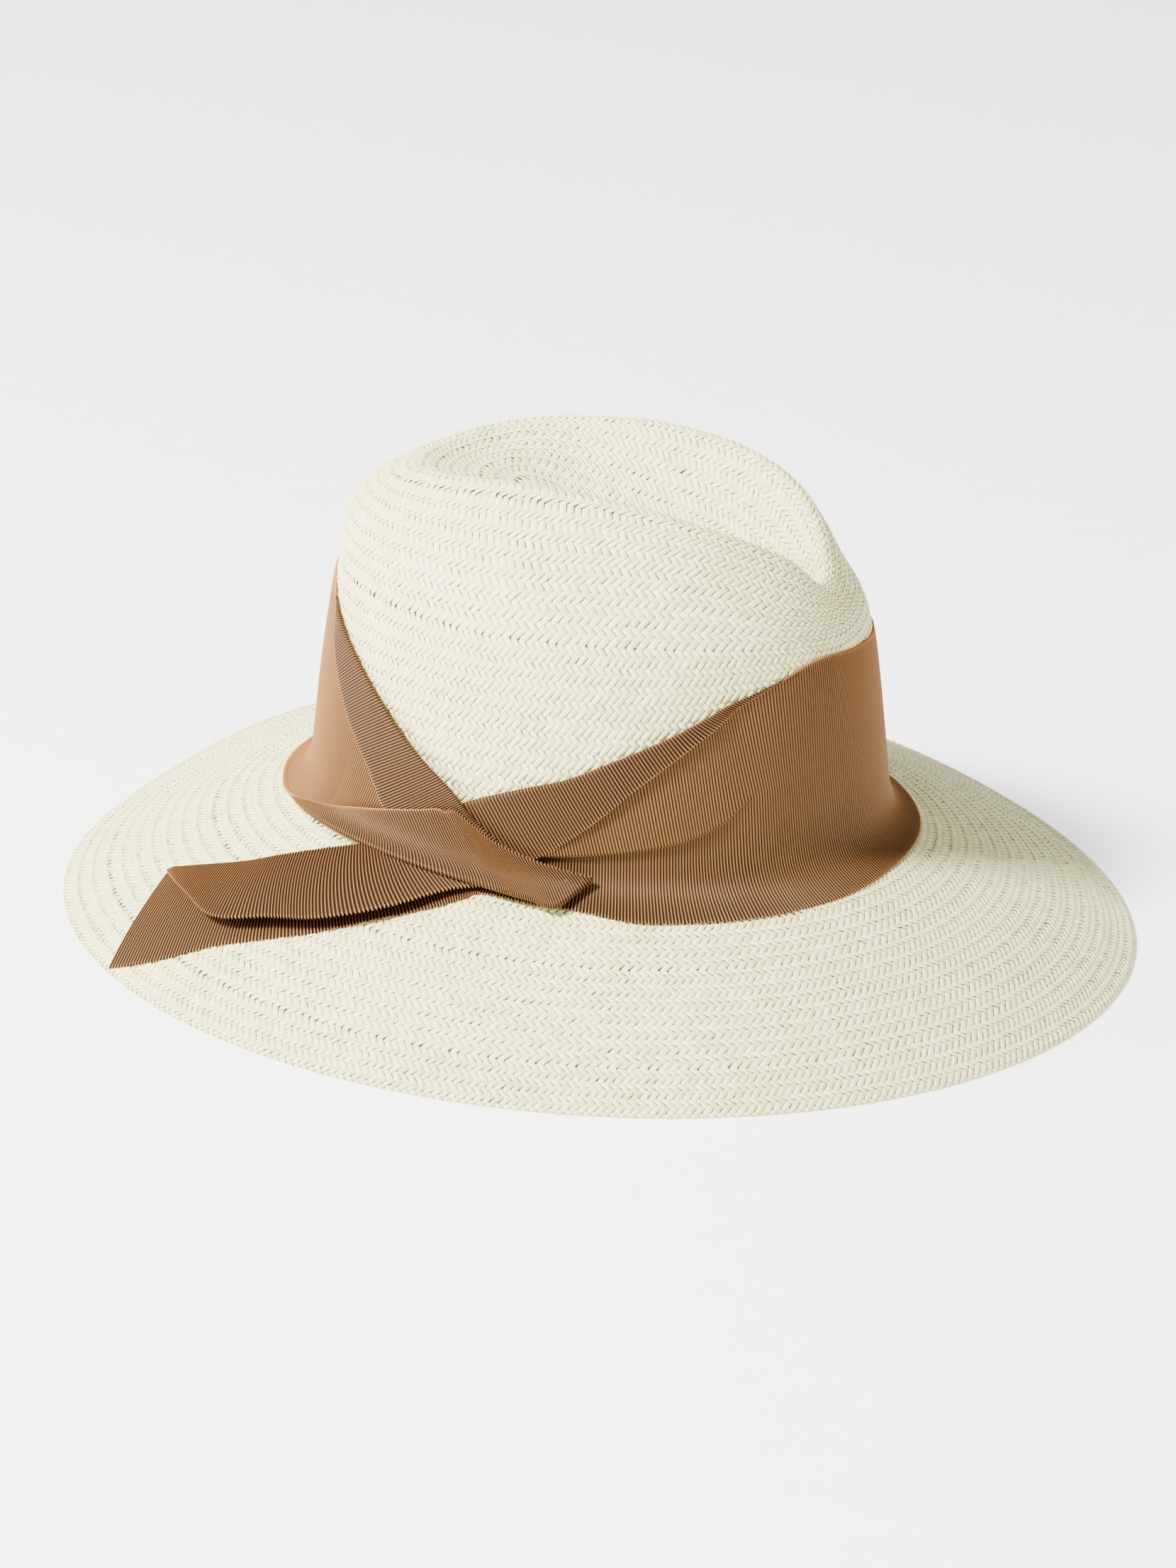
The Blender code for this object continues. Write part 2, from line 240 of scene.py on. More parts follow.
# ---- what the ribbon lies on --------------------------------------------------------
class Wall:
    """What the ribbon lies on: the crown's wall and, below the break line, the brim.

    A place on it is given by s, the distance round from the middle of the wearer's right
    towards the front, and d, the distance up the wall from the break line, negative on
    the brim. The corner is eased, as a ribbon bridges it.
    """

    LOW, HIGH = -95.0, 96.0
    STEP = 0.5
    EASE = 7.0                  # how widely the corner is rounded
    REACH = 44                  # steps of the wall that each rounded point draws on
    RIGHT = 0.75                # where the wearer's right is, as a share of the way round

    def __init__(self):
        turn = np.arange(COLUMNS + 1) / COLUMNS
        guide = crown_points(turn, np.array([0.8]))[0]
        way = np.concatenate([[0.0], np.cumsum(np.linalg.norm(np.diff(guide, axis=0), axis=1))])
        self.round = way[-1]
        even = np.interp(np.linspace(0.0, self.round, COLUMNS + 1), way, turn)
        rows = [brim_points(even, out) for out in np.linspace(1.05, 0.0, 210)]
        middle = len(rows) - 1
        rows += list(crown_points(even, np.linspace(0.02, 4.0, 260)))
        rows = np.array(rows)
        gaps = np.linalg.norm(np.diff(rows, axis=0), axis=2)
        height = np.concatenate([np.zeros((1, COLUMNS + 1)), np.cumsum(gaps, axis=0)])
        height -= height[middle]
        self.heights = np.arange(self.LOW, self.HIGH + 0.01, self.STEP)
        points = np.stack([
            np.stack([np.interp(self.heights, height[:, j], rows[:, j, axis])
                      for axis in range(3)], axis=-1)
            for j in range(COLUMNS + 1)], axis=1)
        reach = self.REACH
        spread = np.arange(-reach, reach + 1) * self.STEP
        weight = np.exp(-0.5 * (spread / self.EASE) ** 2)
        weight /= weight.sum()
        padded = np.concatenate([2 * points[:1] - points[reach:0:-1], points,
                                 2 * points[-1:] - points[-2:-reach - 2:-1]])
        self.points = sum(w * padded[k:k + len(points)] for k, w in enumerate(weight))
        across = np.empty_like(self.points)
        across[:, 1:-1] = self.points[:, 2:] - self.points[:, :-2]
        across[:, 0] = across[:, -1] = self.points[:, 1] - self.points[:, -2]
        self.normals = unit(np.cross(across, np.gradient(self.points, axis=0)))

    def at(self, s, d):
        row = np.clip((d - self.LOW) / self.STEP, 0, len(self.heights) - 1.001)
        column = ((s / self.round + self.RIGHT) % 1.0) * COLUMNS
        return look_up((self.points, self.normals), row, column)


# ---- making meshes ----------------------------------------------------------------------
def grid_quads(count, rows, columns):
    """Quads of count separate grids of rows by columns points."""
    k = np.arange(count)[:, None, None] * rows * columns
    i = np.arange(rows - 1)[None, :, None]
    j = np.arange(columns - 1)[None, None, :]
    corner = k + i * columns + j
    return np.stack([corner, corner + columns, corner + columns + 1, corner + 1], axis=-1).reshape(-1, 4)


def mesh_piece(name, points, quads, finish, flip=False):
    """An object in metres from points in millimetres."""
    points = np.asarray(points, float).reshape(-1, 3) * MM
    quads = quads[:, ::-1] if flip else quads
    mesh = bpy.data.meshes.new(name)
    mesh.vertices.add(len(points))
    mesh.vertices.foreach_set("co", points.ravel())
    mesh.loops.add(quads.size)
    mesh.loops.foreach_set("vertex_index", quads.ravel().astype(np.int32))
    mesh.polygons.add(len(quads))
    mesh.polygons.foreach_set("loop_start", np.arange(len(quads), dtype=np.int32) * 4)
    mesh.update(calc_edges=True)
    mesh.shade_smooth()
    mesh.materials.append(finish)
    piece = bpy.data.objects.new(name, mesh)
    bpy.context.scene.collection.objects.link(piece)
    return piece


def mark(piece, name, values):
    """A named vector on each point, which the piece's material reads."""
    layer = piece.data.attributes.new(name, "FLOAT_VECTOR", "POINT")
    layer.data.foreach_set("vector", np.asarray(values, float).ravel())


# ---- materials ------------------------------------------------------------------------------
class Finish:
    """A node material and short ways to add to it."""

    def __init__(self, name):
        self.material = bpy.data.materials.new(name)
        self.material.use_nodes = True
        self.tree = self.material.node_tree
        self.shader = self.tree.nodes["Principled BSDF"]

    def set(self, **values):
        for name, value in values.items():
            self.shader.inputs[name.replace("_", " ")].default_value = value

    def node(self, kind, inputs=None, **settings):
        made = self.tree.nodes.new(kind)
        for name, value in settings.items():
            setattr(made, name, value)
        for name, value in (inputs or {}).items():
            self.feed(made.inputs[name], value)
        return made

    def feed(self, socket, value):
        if isinstance(value, bpy.types.NodeSocket):
            self.tree.links.new(value, socket)
        else:
            socket.default_value = value

    def math(self, operation, first, second=0.0):
        made = self.node("ShaderNodeMath", operation=operation)
        for socket, value in zip(made.inputs, (first, second)):
            self.feed(socket, value)
        return made.outputs[0]

    def scaled(self, vector, scale):
        made = self.node("ShaderNodeVectorMath", operation="MULTIPLY")
        self.feed(made.inputs[0], vector)
        made.inputs[1].default_value = scale
        return made.outputs[0]

    def noise(self, vector, scale, detail=2.0, roughness=0.5):
        return self.node("ShaderNodeTexNoise", {"Vector": vector, "Scale": scale, "Detail": detail,
                                                "Roughness": roughness}).outputs["Fac"]

    def ramp(self, value, stops):
        made = self.node("ShaderNodeValToRGB", {"Fac": value})
        made.color_ramp.elements[0].position = stops[0][0]
        made.color_ramp.elements[1].position = stops[-1][0]
        for place, _ in stops[1:-1]:
            made.color_ramp.elements.new(place)
        for element, (_, colour) in zip(made.color_ramp.elements, stops):
            element.color = (*colour, 1.0)
        return made.outputs["Color"]

    def mix(self, share, first, second):
        made = self.node("ShaderNodeMix", data_type="RGBA")
        self.feed(made.inputs["Factor"], share)
        self.feed(made.inputs["A"], (*first, 1.0) if isinstance(first, tuple) else first)
        self.feed(made.inputs["B"], (*second, 1.0) if isinstance(second, tuple) else second)
        return made.outputs["Result"]

    def remap(self, value, low, high):
        return self.node("ShaderNodeMapRange", {"Value": value, "To Min": low, "To Max": high}).outputs[0]

    def bump(self, height, strength, distance):
        made = self.node("ShaderNodeBump", {"Height": height, "Strength": strength,
                                            "Distance": distance * MM})
        self.feed(self.shader.inputs["Normal"], made.outputs["Normal"])

    def colour(self, value):
        self.feed(self.shader.inputs["Base Color"], value)

    def roughness(self, value):
        self.feed(self.shader.inputs["Roughness"], value)


def straw_finish():
    """Split palm straw: ivory strands of slightly different tone, with fine fibres along them."""
    made = Finish("toquilla_straw")
    marks = made.node("ShaderNodeAttribute", attribute_name="strand").outputs["Vector"]
    parts = made.node("ShaderNodeSeparateXYZ", {"Vector": marks})
    fibres = made.noise(made.scaled(marks, (0.12, 5.0, 40.0)), 1.0, 3.0, 0.6)
    cloudy = made.noise(made.node("ShaderNodeTexCoord").outputs["Object"], 70.0, 1.0)
    tone = made.math("ADD", made.math("MULTIPLY", parts.outputs["Z"], 0.75),
                     made.math("MULTIPLY", cloudy, 0.25))
    ivory = made.ramp(tone, [(0.0, (0.60, 0.60, 0.24)), (0.3, (0.74, 0.72, 0.34)),
                             (0.6, (0.81, 0.78, 0.39)), (0.85, (0.87, 0.84, 0.47)),
                             (1.0, (0.78, 0.66, 0.31))])
    streaks = made.remap(fibres, 0.86, 1.06)
    shaded = made.node("ShaderNodeVectorMath", operation="SCALE")
    made.feed(shaded.inputs[0], ivory)
    made.feed(shaded.inputs["Scale"], streaks)
    made.colour(shaded.outputs[0])
    made.roughness(made.remap(fibres, 0.38, 0.60))
    made.bump(fibres, 0.5, 0.12)
    made.set(Specular_IOR_Level=0.4)
    return made.material


def core_painted_shade_finish():
    """What shows through the weave: the strands underneath, coloured far darker than the straw as painted
    shade in the gaps.
    """
    made = Finish("straw_core_painted_shade")
    spots = made.noise(made.node("ShaderNodeTexCoord").outputs["Object"], 900.0, 2.0)
    # painted shade: dark brown, so the gaps between the floats read as shadowed
    made.colour(made.ramp(spots, [(0.3, (0.11, 0.094, 0.046)), (0.7, (0.22, 0.185, 0.098))]))
    made.roughness(made.remap(spots, 0.7, 0.9))
    made.bump(spots, 0.4, 0.15)
    return made.material


# ---- the straw -------------------------------------------------------------------------------
ARCH_PLACES = np.array([-1.3, -0.85, 0.0, 0.85, 1.3])     # along a float, in strand widths
ARCH_HEIGHTS = np.array([-0.74, -0.10, 0.18, -0.10, -0.74])
CROSS_PLACES = np.array([-0.49, -0.38, 0.38, 0.49])     # across it
CROSS_HEIGHTS = np.array([-0.25, 0.03, 0.03, -0.25])
UNEVEN = 0.03               # how much floats differ in length, lean and height
TILT = 0.05                 # and in tilt
FLOAT_WIDTHS = (0.88, 1.0)  # narrowest and widest, in strand widths
HEM_PLACE = 6.9             # the hem's stitches, inwards from the brim's edge
HEM_DIP = 0.4               # how far they draw the straw in
HEM_SPREAD = 0.9
UNDERSIDE = 1.1             # depth of the straw's lower face under its upper face
CORE_DEPTHS = (0.66, 0.80)  # the two faces of the layer between
CLEAR_OF_FLOOR = 0.03
FILL = 1.9                  # how far past the dent's middle line the last row may reach


def floats_of_row(skin, row, rng):
    """Centres, lean and tones of the floats of one ring of the weave."""
    pair = row // 2
    along = (2 * row + 1.5) * STEP
    size = skin.round_at((4 * pair + 2.5) * STEP) / (2 * STEP)
    growth = round(math.log(size / WALL_FLOATS) / math.log(GROWTH))
    count = int(round(WALL_FLOATS * GROWTH ** growth))
    lean = 1 if row % 2 == 0 else -1
    number = np.arange(count)
    turn = (number + 0.25 * lean) / count
    strands = np.random.default_rng(count).random((2, 4 * count))
    which = (number - lean * row) % count
    tone = 0.65 * strands[max(lean, 0), which] + 0.35 * rng.random(count)
    return turn, np.full(count, along), np.full(count, lean), np.full(count, float(count)), tone


def weave(name, skin, first, last, side, finish, seed):
    """The floats of the rows first to last, on the upper (side 1) or lower face (side -1)."""
    rng = np.random.default_rng(seed)
    parts = [floats_of_row(skin, row, rng) for row in range(first, last)]
    turn, along, lean, count, tone = [np.concatenate(part) for part in zip(*parts)]
    total = len(turn)
    lean = lean * side
    round_the_edge = first < 0
    places = np.linspace(-1.3, 1.3, 11) if round_the_edge else ARCH_PLACES
    arch = np.interp(np.abs(places), ARCH_PLACES[2:], ARCH_HEIGHTS[2:])
    s = places[None, :, None] * STRAND * (1 + UNEVEN * rng.standard_normal((total, 1, 1)))
    w = CROSS_PLACES[None, None, :] * STRAND * rng.uniform(*FLOAT_WIDTHS, (total, 1, 1))
    swing = UNEVEN * rng.standard_normal((total, 1, 1))
    s, w = s - swing * w, w + swing * s
    across = (s - lean[:, None, None] * w) / math.sqrt(2)
    inwards = (lean[:, None, None] * s + w) / math.sqrt(2)
    point, normal = skin.at(turn[:, None, None] + across / (2 * STEP * count[:, None, None]),
                            along[:, None, None] + inwards)
    height = arch[None, :, None] + CROSS_HEIGHTS[None, None, :]
    height = height + UNEVEN * rng.standard_normal((total, 1, 1))
    height = height + TILT * rng.standard_normal((total, 1, 1)) * w
    if side > 0:                            # the hem's stitches draw the straw in
        from_hem = along[:, None, None] + inwards - HEM_PLACE
        height = height - HEM_DIP * np.exp(-(from_hem / HEM_SPREAD) ** 2)
    depth = height if side > 0 else -UNDERSIDE - height
    points = point + normal * depth[..., None]
    points[..., 2] = np.maximum(points[..., 2], CLEAR_OF_FLOOR)
    rows, columns = len(places), len(CROSS_PLACES)
    piece = mesh_piece(name, points, grid_quads(total, rows, columns), finish, flip=side > 0)
    shape = (total, rows, columns)
    shift = 40.0 * rng.random((total, 1, 1))
    mark(piece, "strand", np.stack([np.broadcast_to(s + shift, shape), np.broadcast_to(w, shape),
                                    np.broadcast_to(tone[:, None, None], shape)], axis=-1))
    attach(piece, "hat")
    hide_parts("straw_body")
    return piece


def make_core(skin, finish):
    """The layer between the upper and lower floats, so that no light passes the weave."""
    along = np.linspace(-1.5, skin.along[-1] - 0.3, 260)
    turn = np.linspace(0.0, 1.0, 361)
    point, normal = skin.at(*np.broadcast_arrays(turn[None, :], along[:, None]))
    points = np.stack([point - normal * depth for depth in CORE_DEPTHS])
    points[..., 2] = np.maximum(points[..., 2], 2 * CLEAR_OF_FLOOR)
    quads = grid_quads(2, len(along), len(turn))
    half = len(quads) // 2
    quads[:half] = quads[:half, ::-1]
    piece = mesh_piece("straw_core", points, quads, finish)
    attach(piece, "hat")
    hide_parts("straw_body")


def make_straw(skin):
    straw = straw_finish()
    rows = int((skin.along[-1] + FILL) / (2 * STEP) - 0.75)
    weave("brim_edge_weave", skin, -3, 0, 1, straw, 11)
    bounds = [0, 7, 14, 21, 31, 42, 54, 68, rows]
    for number, (first, last) in enumerate(zip(bounds, bounds[1:]), 1):
        weave(f"outer_weave_{number}", skin, first, last, 1, straw, 20 + number)
    under = [3, 16, 32, 52, rows]
    for number, (first, last) in enumerate(zip(under, under[1:]), 1):
        weave(f"inner_weave_{number}", skin, first, last, -1, straw, 40 + number)
    make_core(skin, core_painted_shade_finish())


# ---- the ribbon: grosgrain folded lengthwise, in two strands that cross on the right ---------
RIB = 1.08                  # spacing of its ribs
RIBBON_THICK = 0.98         # over a rib
GROOVE_THICK = 0.15         # between ribs, as a share of that
SCALLOP = 0.75              # how far each rib's loop stands out at the selvedge
ROWS_A_RIB = 4
SELVEDGE = 0.6              # how far in from the selvedge the painted highlight on its loops fades
EASED_SHADE_TO = 285.0           # how far along the under strand its painted shade between the ribs is eased
FADE = 40.0                 # over which that easing fades, towards the tail
FULL_SHADE_REACH = 34.0                # nearer the lower selvedge than this, the painted shade between the ribs comes back in full

# Each row is a station where one rib crosses the folded ribbon: the lower selvedge, two more
# guides, the upper fold and the upper selvedge. Each guide is s, d and the height over the
# crown or brim.
OVER_STRAND = [
    [(-284, -10.5, 0.9), (-284, -10.0, 0.9), (-284, -9.0, 0.9), (-284, 69.5, 0.9), (-284, 70.5, 0.9)],
    [(-200, -10.5, 0.5), (-200, -10.0, 0.5), (-200, -9.0, 0.5), (-199, 70.8, 0.5), (-199, 71.8, 0.5)],
    [(-140, -10.4, 0.7), (-140, -9.9, 0.6), (-140, -9.0, 0.5), (-131, 72.3, 0.5), (-131, 73.3, 0.5)],
    [(-108, -10.2, 1.4), (-108, -9.8, 1.2), (-107, -9.0, 1.0), (-93, 68.5, 0.6), (-93, 69.5, 0.6)],
    [(-86, -9.4, 2.2), (-86, -9.3, 2.0), (-85, -9.0, 1.8), (-68, 59.6, 1.0), (-75, 53.5, 2.6)],
    [(-66, -2.4, 4.4), (-64.7, -4.2, 4.2), (-63, -8.3, 3.6), (-44, 47.3, 1.9), (-58.5, 37.5, 3.8)],
    [(-48, 6.6, 5.7), (-46.5, 4.1, 5.5), (-41, -8.4, 5.0), (-24, 35.2, 3.4), (-42.5, 24.2, 5.0)],
    [(-32, 12.4, 6.6), (-30.5, 9.8, 6.4), (-20, -9.6, 5.8), (-9, 26.5, 4.0), (-31.5, 11.0, 5.6)],
    [(-17, 16.9, 6.9), (-15.5, 14.5, 6.7), (-1, -11.0, 5.9), (-1, 19.5, 4.2), (-22, 3.0, 5.4)],
    [(-10, 18.9, 6.9), (-9.2, 17.6, 6.8), (7, -11.7, 5.9), (3.5, 16.0, 4.1), (-13, -0.5, 5.3)],
    [(-6, 17.5, 6.6), (-4.2, 20.2, 6.9), (14, -12.6, 5.8), (9.5, 12.0, 4.1), (-4, -3.5, 5.1)],
    [(3, 8.0, 6.2), (3, 16.4, 6.8), (19.5, -13.5, 5.5), (16, 8.5, 4.1), (3, -5.0, 5.0)],
    [(14, 0.0, 6.0), (9.5, 12.6, 6.6), (24.5, -14.2, 5.2), (22, 5.5, 4.0), (9, -6.5, 4.8)],
    [(24, -4.0, 5.4), (20.5, 8.0, 5.9), (30.5, -15.8, 4.8), (30, 3.0, 3.8), (21, -8.0, 4.4)],
    [(34, -2.0, 4.9), (31, 4.2, 5.3), (35.5, -8.0, 4.6), (35, 2.0, 3.6), (31, -3.0, 4.2)],
    [(39.8, 0.9, 4.5), (40, 1.1, 4.9), (40.1, 0.5, 4.4), (39.9, 0.9, 3.6), (39.7, 0.7, 4.0)],
]
UNDER_STRAND = [
    [(283.3, -10.5, 0.5), (283.3, 30.0, 0.5), (283.3, 30.6, 0.5), (283.3, 69.5, 0.5), (283.3, 70.5, 0.5)],
    [(230, -10.5, 0.5), (230, 30.0, 0.5), (230, 30.6, 0.5), (230, 64.3, 0.5), (230, 65.3, 0.5)],
    [(180, -10.8, 0.5), (180, 30.0, 0.5), (180, 30.6, 0.5), (180, 64.0, 0.5), (180, 65.0, 0.5)],
    [(145, -10.8, 0.5), (145, 30.0, 0.5), (145, 30.6, 0.5), (145, 66.8, 0.6), (145, 67.8, 0.6)],
    [(118, -13.5, 0.5), (117, 30.0, 0.5), (117, 30.6, 0.5), (118, 68.5, 0.8), (118, 69.5, 0.8)],
    [(94, -15.5, 0.5), (94, 29.6, 0.6), (94, 30.0, 0.6), (88, 61.8, 1.0), (90, 61.0, 1.5)],
    [(80, -16.3, 0.6), (80, 24.5, 0.9), (80, 21.3, 1.2), (76, 56.7, 1.2), (80, 54.5, 2.8)],
    [(66, -16.5, 0.6), (67, 20.8, 1.0), (67, 16.2, 1.8), (62, 49.8, 1.3), (66, 44.5, 3.6)],
    [(52, -16.4, 0.6), (52.5, 18.6, 1.0), (52.5, 13.1, 2.2), (46.4, 42.7, 1.4), (52.5, 33.9, 4.2)],
    [(38, -13.0, 0.6), (37.5, 16.8, 1.0), (37.5, 10.7, 2.3), (31, 35.3, 1.4), (39.6, 22.2, 4.4)],
    [(23, -12.0, 0.6), (22.5, 14.5, 1.0), (22.5, 8.0, 1.9), (15, 29.7, 1.4), (27, 11.3, 3.4)],
    [(8, -11.0, 0.6), (8, 8.0, 0.8), (8, 5.0, 1.0), (-3, 22.0, 1.2), (12.7, 0.0, 2.6)],
    [(3.3, -15.3, 0.6), (-1, -6.0, 0.7), (-4, 1.0, 0.8), (-14, 14.0, 1.4), (9.5, -8.0, 2.8)],
    [(-3.8, -23.0, 0.7), (-10, -15.0, 0.9), (-16, -7.0, 1.1), (-25, 4.0, 1.4), (-0.7, -16.1, 4.0)],
    [(-15.1, -34.1, 0.7), (-21, -26.0, 1.0), (-28, -16.0, 1.6), (-35.4, -6.5, 2.2), (-11.7, -31.6, 6.0)],
    [(-24.8, -45.2, 0.7), (-30.5, -37.0, 1.9), (-37, -27.5, 3.2), (-44.0, -17.5, 3.6), (-24.5, -44.5, 6.6)],
    [(-35.1, -56.2, 0.7), (-40, -47.5, 2.0), (-45.5, -38.0, 3.4), (-51.5, -28.5, 4.6), (-35.0, -52.0, 7.4)],
    [(-44.1, -67.4, 0.7), (-47.5, -59.5, 2.0), (-53, -47.5, 3.4), (-57.5, -37.5, 4.6), (-46.4, -61.0, 7.4)],
    [(-51.2, -81.5, 0.7), (-55.5, -71.5, 2.0), (-61, -59.0, 3.4), (-66.0, -48.0, 4.6), (-59.5, -59.6, 6.9)],
    [(-59.0, -94.5, 0.7), (-63, -84.0, 2.0), (-68, -71.0, 3.4), (-73.2, -58.0, 4.8), (-73.0, -58.6, 5.6)],
]
OVER_GAPS = (0.7, -1.7, 1.4)        # how far a fold at each inner guide lifts what follows
UNDER_GAPS = (0.7, 0.8, 1.6)
OVER_PARTS = (8, 18, 26, 18)        # stretches of cloth between the guides
UNDER_PARTS = (20, 8, 22, 18)


def along_stations(wall, stations, spacing):
    """Guides at even steps along the ribbon, on smooth curves through the stations."""
    stations = np.asarray(stations, float)
    dense = between(stations, np.linspace(0.0, len(stations) - 1, 40 * len(stations)), False)
    point, normal = wall.at(dense[..., 0], dense[..., 1])
    point = point + normal * dense[..., 2:]
    moves = np.linalg.norm(np.diff(point, axis=0), axis=2).mean(axis=1)
    run = np.concatenate([[0.0], np.cumsum(moves)])
    places = np.arange(0.0, run[-1], spacing)
    k = np.clip(np.searchsorted(run, places, side="right") - 1, 0, len(run) - 2)
    part = ((places - run[k]) / (run[k + 1] - run[k]))[:, None, None]
    return dense[k] * (1 - part) + dense[k + 1] * part, places


def folded(guides, gaps, parts):
    """Points (s, d, height) across every rib, rounded where the cloth turns back."""
    flat = guides[..., :2]
    lengths = np.maximum(np.linalg.norm(np.diff(flat, axis=1), axis=2), 1e-3)
    headings = np.diff(flat, axis=1) / lengths[..., None]
    turned = (1 - (headings[:, 1:] * headings[:, :-1]).sum(axis=2)) / 2
    lifts = turned * np.array(gaps)
    lifts *= np.clip(np.minimum(lengths[:, 1:], lengths[:, :-1]) / 3.0, 0.0, 1.0)
    none = np.zeros((len(guides), 1))
    starts = np.concatenate([none, lifts], axis=1)
    ends = np.concatenate([lifts, none], axis=1)
    columns = []
    for panel, count in enumerate(parts):
        share = (1 - np.cos(math.pi * np.arange(count + (panel == len(parts) - 1)) / count)) / 2
        share = share[None, :]
        length = lengths[:, panel, None]
        level = (guides[:, panel, 2:] + starts[:, panel, None]) * (1 - share)
        level = level + guides[:, panel + 1, 2:] * share
        for lift, away in ((starts[:, panel, None], share), (ends[:, panel, None], 1 - share)):
            radius = np.minimum(np.abs(lift) / 2, 0.9 * length)
            inside = np.clip(1 - away * length / np.maximum(radius, 1e-6), 0.0, 1.0)
            bend = np.abs(lift) / 2 * (1 - np.sqrt(1 - inside ** 2))
            level = level + (bend if away is not share else -bend) * np.sign(lift)
        place = flat[:, panel, None, :] * (1 - share[..., None])
        place = place + flat[:, panel + 1, None, :] * share[..., None]
        columns.append(np.concatenate([place, level[..., None]], axis=2))
    return np.concatenate(columns, axis=1)


def grosgrain_mesh(name, points, run, thick, finish, reverse=None,
                   smooth_to=math.inf, slack=0.0):
    """A ribbed sheet from rows of points across it, in millimetres, thin between its ribs.

    Its painted shade between the ribs is eased as far as the given length along it, and comes back in full
    nearer than the given reach to its lower selvedge.
    """
    phase = run / RIB * 2 * math.pi
    profile = 0.5 - 0.5 * np.cos(phase)
    for edge, inner, share in ((0, 1, 1.0), (-1, -2, 1.0), (1, 2, 0.45), (-2, -3, 0.45)):
        outwards = unit(points[:, edge] - points[:, inner])
        points[:, edge] += outwards * (share * SCALLOP * (profile - 0.3))[:, None]
    count = points.shape[1]
    piece = mesh_piece(name, points, grid_quads(1, len(points), count), finish)
    ribs = piece.vertex_groups.new(name="rib")
    for row, weight in enumerate(profile):
        ribs.add(list(range(row * count, (row + 1) * count)), float(weight), "REPLACE")
    across = np.linalg.norm(np.diff(points, axis=1), axis=2)
    across = np.concatenate([np.zeros((len(points), 1)), np.cumsum(across, axis=1)], axis=1)
    shape = across.shape
    mark(piece, "weft", np.stack([np.broadcast_to(profile[:, None], shape), across,
                                  np.broadcast_to(run[:, None], shape)], axis=-1))
    # painted highlight mask: strongest at both selvedges, where the loops are coloured paler
    brink = np.exp(-np.minimum(across, across[:, -1:] - across) / SELVEDGE)
    # painted shade mask: where this is high, less of the surface gets the painted shade between the ribs
    eased_rib_shade = np.clip((smooth_to - run) / FADE, 0.0, 1.0)[:, None]
    eased_rib_shade = eased_rib_shade * np.clip((across + 0.01) / max(slack, 0.01), 0.0, 1.0)
    mark(piece, "selvedge", np.stack([brink, eased_rib_shade, 0 * brink], axis=-1))
    solid = piece.modifiers.new("thickness", "SOLIDIFY")
    solid.thickness = thick * MM
    solid.offset = 0.0
    solid.vertex_group = "rib"
    solid.thickness_vertex_group = GROOVE_THICK
    if reverse:
        piece.data.materials.append(reverse)
        solid.material_offset = 1
    return piece


def grosgrain_finish(name, ridge, shade_between_ribs, depth, ease, sheen, rough, gloss):
    """Ribbed ribbon: glossy weft over each rib, painted shade between the ribs and a painted highlight on
    the selvedge loops, with fine warp across it.
    """
    made = Finish(name)
    weft = made.node("ShaderNodeAttribute", attribute_name="weft").outputs["Vector"]
    parts = made.node("ShaderNodeSeparateXYZ", {"Vector": weft})
    warp = made.noise(made.scaled(weft, (0.0, 5.5, 1.0)), 1.0, 2.0, 0.6)
    fibres = made.noise(made.scaled(weft, (0.0, 0.8, 7.0)), 1.0, 3.0, 0.65)
    patches = made.noise(made.node("ShaderNodeTexCoord").outputs["Object"], 45.0, 2.0)
    height = made.math("ADD", parts.outputs["X"], made.math("MULTIPLY", warp, 0.25))
    loops = made.node("ShaderNodeAttribute", attribute_name="selvedge").outputs["Vector"]
    edges = made.node("ShaderNodeSeparateXYZ", {"Vector": loops}).outputs
    # painted highlight: the selvedge loops are coloured up to twice as pale as the ribs; this tone also
    # tints the sheen
    highlight_tint = tuple(min(1.0, 2.0 * c + 0.02) for c in ridge)
    # the selvedge mark's second value eases the painted shade between the ribs
    low = made.math("SUBTRACT", depth, made.math("MULTIPLY", edges["Y"], ease))
    lit = made.node("ShaderNodeMapRange", {"Value": height, "From Min": low, "From Max": 1.0}).outputs[0]
    # painted shade: between the ribs the colour falls to the dark groove colour, on top of the real relief
    shade = made.mix(lit, shade_between_ribs, made.mix(edges["X"], ridge, highlight_tint))
    tone = made.math("MULTIPLY", made.remap(patches, 0.93, 1.07), made.remap(fibres, 0.86, 1.12))
    scaled = made.node("ShaderNodeVectorMath", operation="SCALE")
    made.feed(scaled.inputs[0], shade)
    made.feed(scaled.inputs["Scale"], tone)
    made.colour(scaled.outputs[0])
    made.roughness(made.remap(fibres, rough, rough + 0.22))
    made.bump(made.math("ADD", height, made.math("MULTIPLY", fibres, 0.4)), 0.35, 0.12)
    made.set(Sheen_Weight=sheen, Sheen_Roughness=0.35, Specular_IOR_Level=0.28)
    made.set(Sheen_Tint=(*highlight_tint, 1.0), Specular_Tint=(*gloss, 1.0))
    return made.material


def make_strand(wall, name, stations, gaps, parts, finishes, **rib_shade_extent):
    guides, run = along_stations(wall, stations, RIB / ROWS_A_RIB)
    cloth = folded(guides, gaps, parts)
    point, normal = wall.at(cloth[..., 0], cloth[..., 1])
    points = point + normal * cloth[..., 2:]
    piece = grosgrain_mesh(name, points, run, RIBBON_THICK, *finishes, **rib_shade_extent)
    return piece


